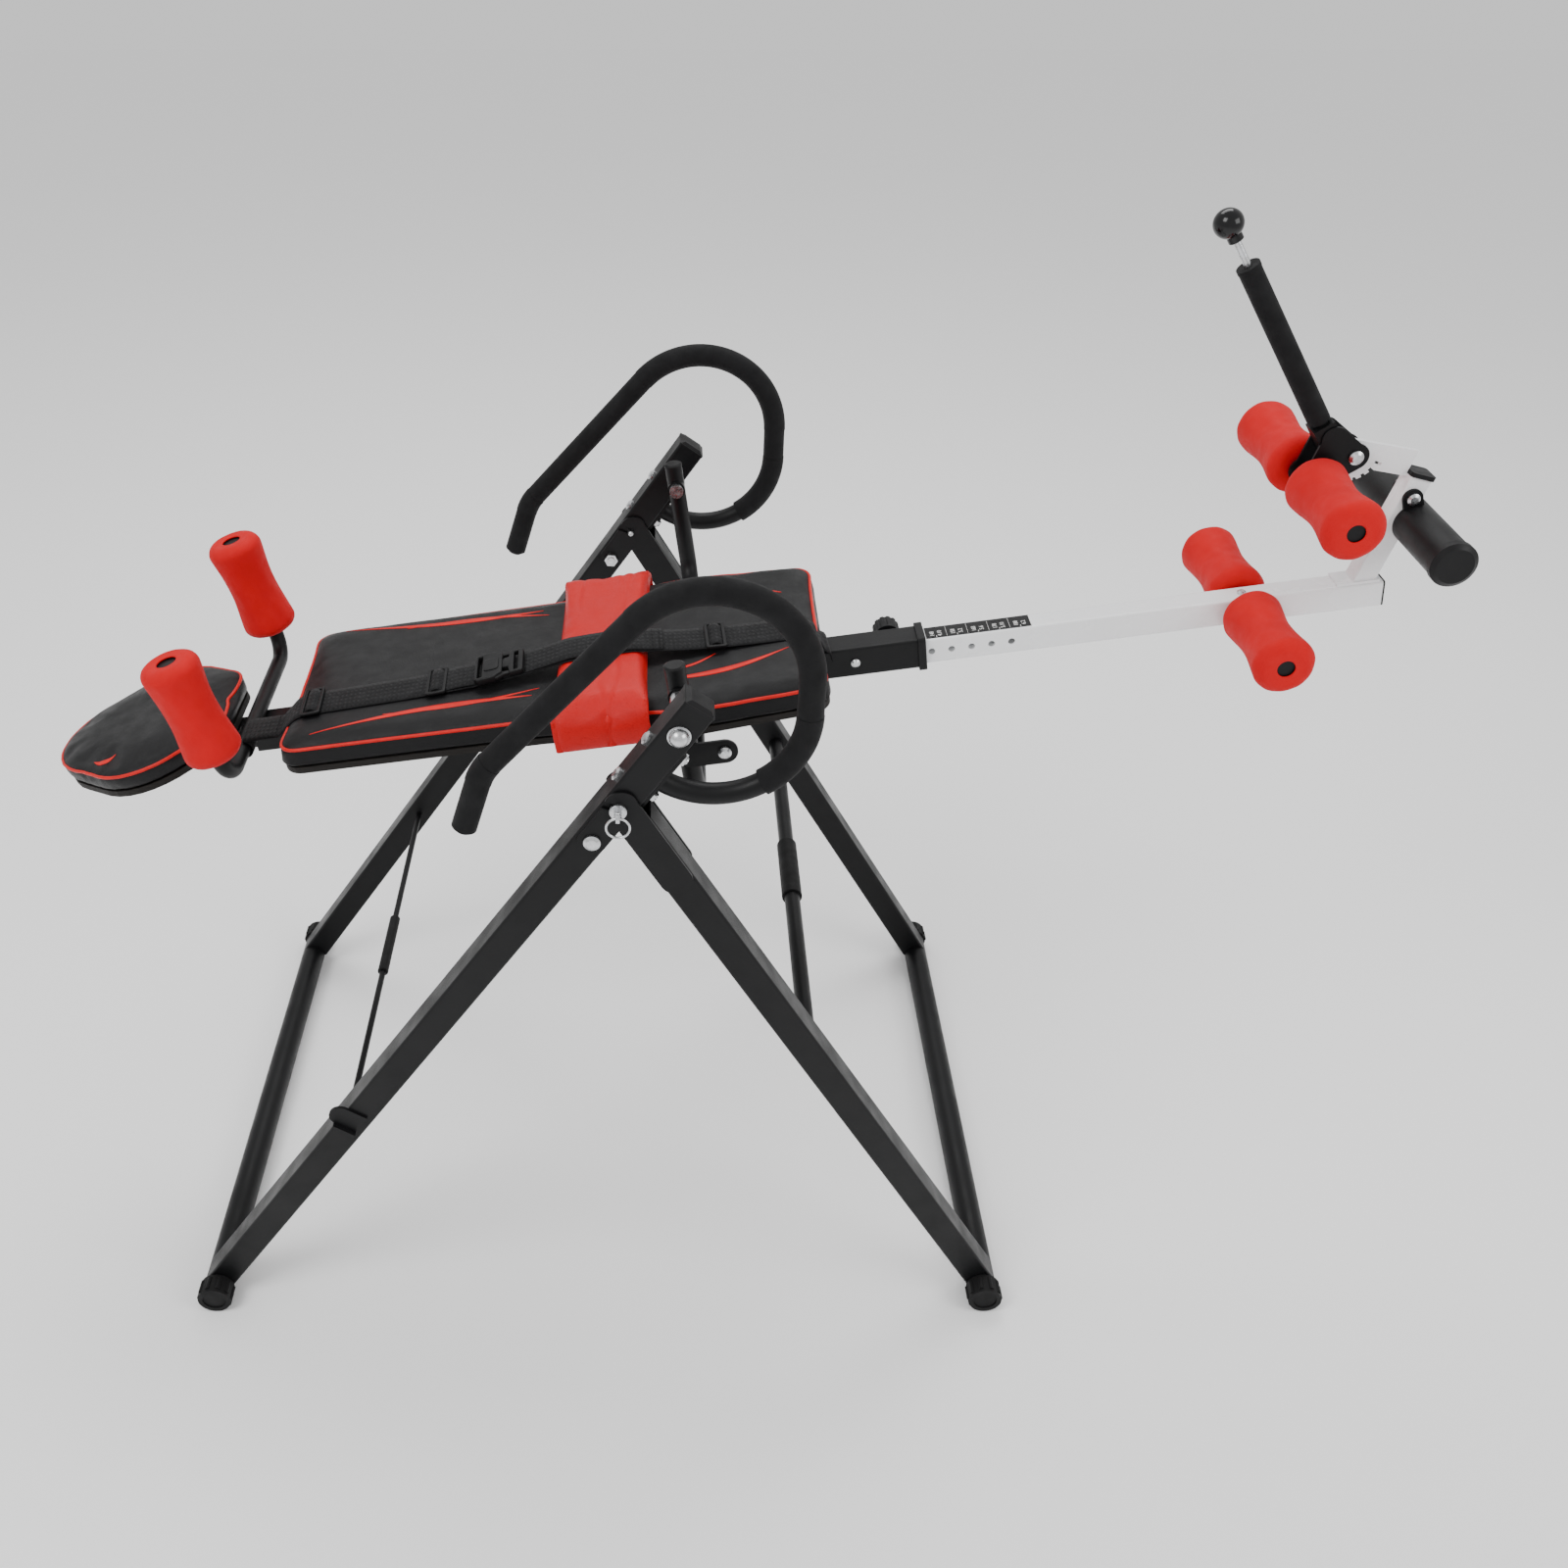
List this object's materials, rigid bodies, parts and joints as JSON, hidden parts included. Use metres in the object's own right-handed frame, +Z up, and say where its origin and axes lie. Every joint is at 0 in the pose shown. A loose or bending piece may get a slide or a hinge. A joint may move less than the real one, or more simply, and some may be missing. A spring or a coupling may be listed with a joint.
{
  "type": "inversion table",
  "caption": "Folding inversion table: A-frame on base tubes, tilting padded bed, sliding headrest, white height boom, foam ankle clamp with lever, foam shoulder rollers and loop handles.",
  "frame": {"origin": "middle of the footprint, on the floor", "axes": "+X towards the foot end of the bed, +Y across the bed, +Z up"},
  "size_m": [1.6244, 0.73, 1.2879],
  "materials": {
    "frame_paint": "black powder coat, low sheen, faint orange peel",
    "white_paint": "white gloss powder coat",
    "zinc": "bright zinc plated steel",
    "black_plastic": "black moulded plastic, fine grain",
    "gloss_black": "polished black phenolic ball",
    "label": "printed height scale film",
    "rubber_cap": "black ribbed rubber",
    "black_foam": "closed cell black foam sleeve",
    "vinyl": "black vinyl cover over foam",
    "red_roller": "red closed cell foam, satin skin",
    "red_foam": "red cover over foam cushion",
    "webbing": "woven black webbing",
    "board": "plywood board with a black stain"
  },
  "bodies": {
    "main_frame": {"front_base_tube": "frame_paint", "front_foot_caps": "rubber_cap", "main_leg_near": "frame_paint", "main_leg_far": "frame_paint", "leg_end_caps": "black_plastic", "front_cross_bar": "frame_paint", "front_bumper": "rubber_cap", "handle_near": "frame_paint", "handle_far": "frame_paint", "grip_near": "black_foam", "grip_far": "black_foam", "frame_bolts": "zinc", "pivot_axles": "zinc"},
    "rear_frame": {"rear_base_tube": "frame_paint", "rear_foot_caps": "rubber_cap", "rear_leg_near": "frame_paint", "rear_leg_far": "frame_paint", "fold_brackets": "frame_paint", "rear_cross_bar": "frame_paint", "rear_bumper": "rubber_cap"},
    "lock_near": {"lock_pin_near": "zinc"},
    "lock_far": {"lock_pin_far": "zinc"},
    "ring_near": {"pull_ring_near": "zinc"},
    "ring_far": {"pull_ring_far": "zinc"},
    "bed": {"spine_tube": "frame_paint", "cradle_arms": "frame_paint", "cradle_caps": "black_plastic", "bed_bolts": "zinc", "spine_collar": "black_plastic", "back_board": "board", "back_pad": "vinyl", "lumbar_cushion": "red_foam", "shoulder_bar": "frame_paint", "strap": "webbing", "buckle": "black_plastic", "strap_slides": "black_plastic"},
    "headrest": {"neck_tube": "frame_paint", "head_board": "board", "head_pad": "vinyl"},
    "boom": {"boom_tube": "white_paint", "scale_label": "label", "foot_post": "white_paint", "boom_caps": "black_plastic", "foot_bar": "frame_paint", "heel_axle": "frame_paint", "ratchet_plate": "white_paint", "boom_bolts": "zinc"},
    "boom_lock": {"boom_pin": "black_plastic"},
    "ankle_lever": {"lever_bracket": "frame_paint", "lever_tube": "frame_paint", "lever_grip": "black_foam", "instep_axle": "frame_paint"},
    "release": {"release_rod": "zinc", "ball_knob": "gloss_black"},
    "heel_roll_near": {"heel_roller_near": "red_roller"},
    "heel_roll_far": {"heel_roller_far": "red_roller"},
    "instep_roll_near": {"instep_roller_near": "red_roller"},
    "instep_roll_far": {"instep_roller_far": "red_roller"},
    "shoulder_roll_near": {"shoulder_roller_near": "red_roller"},
    "shoulder_roll_far": {"shoulder_roller_far": "red_roller"}
  },
  "joints": [
    {"name": "leg_fold", "type": "hinge", "parent": "main_frame", "child": "rear_frame", "pos_m": [-0.13273, 0, 0.74797], "axis": [0, 1, 0], "range_deg": [0, 60]},
    {"name": "bed_tilt", "type": "hinge", "parent": "main_frame", "child": "bed", "pos_m": [-0.04391, 0, 0.875], "axis": [0, 1, 0], "range_deg": [-30, 56]},
    {"name": "lock_pull_near", "type": "slide", "parent": "main_frame", "child": "lock_near", "axis": [0, -1, 0], "range_m": [0, 0.05]},
    {"name": "lock_pull_far", "type": "slide", "parent": "main_frame", "child": "lock_far", "axis": [0, 1, 0], "range_m": [0, 0.05]},
    {"name": "ring_swing_near", "type": "hinge", "parent": "lock_near", "child": "ring_near", "pos_m": [-0.10522, -0.3564, 0.78731], "axis": [-1, 0, 0], "range_deg": [0, 90]},
    {"name": "ring_swing_far", "type": "hinge", "parent": "lock_far", "child": "ring_far", "pos_m": [-0.10522, 0.3564, 0.78731], "axis": [1, 0, 0], "range_deg": [0, 90]},
    {"name": "headrest_slide", "type": "slide", "parent": "bed", "child": "headrest", "axis": [-0.989, 0, -0.1478], "range_m": [0, 0.06]},
    {"name": "boom_slide", "type": "slide", "parent": "bed", "child": "boom", "axis": [0.989, 0, 0.1478], "range_m": [-0.1175, 0.0705]},
    {"name": "boom_pin_pull", "type": "slide", "parent": "bed", "child": "boom_lock", "axis": [0, 1, 0], "range_m": [0, 0.012], "stiffness_N_per_m": 600, "springref_m": -0.004},
    {"name": "ankle_lever_tilt", "type": "hinge", "parent": "boom", "child": "ankle_lever", "pos_m": [0.69856, 0, 1.02843], "axis": [0, 1, 0], "range_deg": [-15, 40]},
    {"name": "release_pull", "type": "slide", "parent": "ankle_lever", "child": "release", "axis": [-0.5664, 0, 0.8241], "range_m": [0, 0.012], "stiffness_N_per_m": 600, "springref_m": -0.004},
    {"name": "heel_spin_near", "type": "hinge", "parent": "boom", "child": "heel_roll_near", "pos_m": [0.62286, -0.0854, 0.83815], "axis": [0, 1, 0], "continuous": true},
    {"name": "instep_spin_near", "type": "hinge", "parent": "ankle_lever", "child": "instep_roll_near", "pos_m": [0.65731, -0.0854, 1.00002], "axis": [0, 1, 0], "continuous": true},
    {"name": "shoulder_spin_near", "type": "hinge", "parent": "bed", "child": "shoulder_roll_near", "pos_m": [-0.58586, -0.15, 0.78618], "axis": [-0.2672, 0, 0.9636], "continuous": true},
    {"name": "heel_spin_far", "type": "hinge", "parent": "boom", "child": "heel_roll_far", "pos_m": [0.62286, 0.0854, 0.83815], "axis": [0, 1, 0], "continuous": true},
    {"name": "instep_spin_far", "type": "hinge", "parent": "ankle_lever", "child": "instep_roll_far", "pos_m": [0.65731, 0.0854, 1.00002], "axis": [0, 1, 0], "continuous": true},
    {"name": "shoulder_spin_far", "type": "hinge", "parent": "bed", "child": "shoulder_roll_far", "pos_m": [-0.58586, 0.15, 0.78618], "axis": [-0.2672, 0, 0.9636], "continuous": true}
  ]
}
